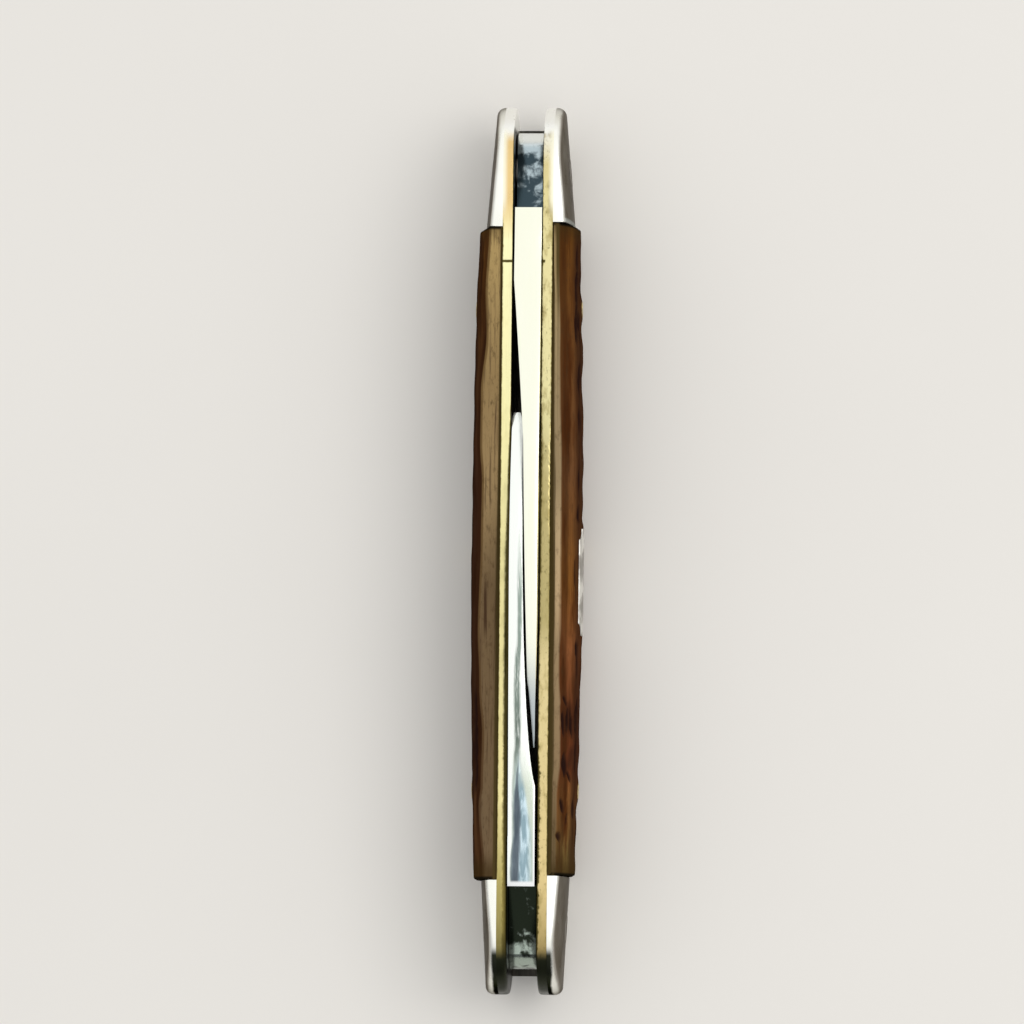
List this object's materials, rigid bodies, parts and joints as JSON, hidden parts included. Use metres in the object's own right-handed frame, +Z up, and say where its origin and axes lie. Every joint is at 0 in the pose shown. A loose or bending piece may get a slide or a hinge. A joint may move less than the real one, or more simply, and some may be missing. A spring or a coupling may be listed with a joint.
{
  "type": "folding pocket knife",
  "caption": "Slim folding pen knife: blades of unequal length pivot at opposite ends, share one back spring and fold side by side between brass liners under jigged bone scales.",
  "frame": {"origin": "on the flat back of the closed knife, under the middle of the handle", "axes": "+Y along the handle to the main blade's pivot end, +X across it to the mark side with the shield, +Z up from the back to the blade side"},
  "size_m": [0.0089, 0.07, 0.0125],
  "materials": {
    "spring_steel": "satin",
    "blade_steel": "polished",
    "liner_brass": "satin",
    "pin_brass": "satin",
    "nickel_silver": "polished",
    "bone": "satin"
  },
  "bodies": {
    "handle": {"back_spring": "spring_steel", "mark_liner": "liner_brass", "pile_liner": "liner_brass", "mark_main_bolster": "nickel_silver", "mark_pen_bolster": "nickel_silver", "pile_main_bolster": "nickel_silver", "pile_pen_bolster": "nickel_silver", "mark_scale": "bone", "pile_scale": "bone", "main_pivot_pin": "nickel_silver", "pen_pivot_pin": "nickel_silver", "spring_rivet": "pin_brass", "mark_scale_pin_main": "pin_brass", "mark_scale_pin_pen": "pin_brass", "pile_scale_pin_main": "pin_brass", "pile_scale_pin_pen": "pin_brass", "shield": "nickel_silver", "shield_rivets": "nickel_silver"},
    "main_blade_body": {"main_blade": "blade_steel"},
    "pen_blade_body": {"pen_blade": "blade_steel"}
  },
  "joints": [
    {"name": "main_blade_pivot", "type": "hinge", "parent": "handle", "child": "main_blade_body", "pos_m": [0, 0.02985, 0.00515], "axis": [-1, 0, 0], "range_deg": [0, 175], "deforming": ["back_spring"]},
    {"name": "pen_blade_pivot", "type": "hinge", "parent": "handle", "child": "pen_blade_body", "pos_m": [0, -0.02985, 0.00515], "axis": [1, 0, 0], "range_deg": [0, 175], "deforming": ["back_spring"]}
  ]
}
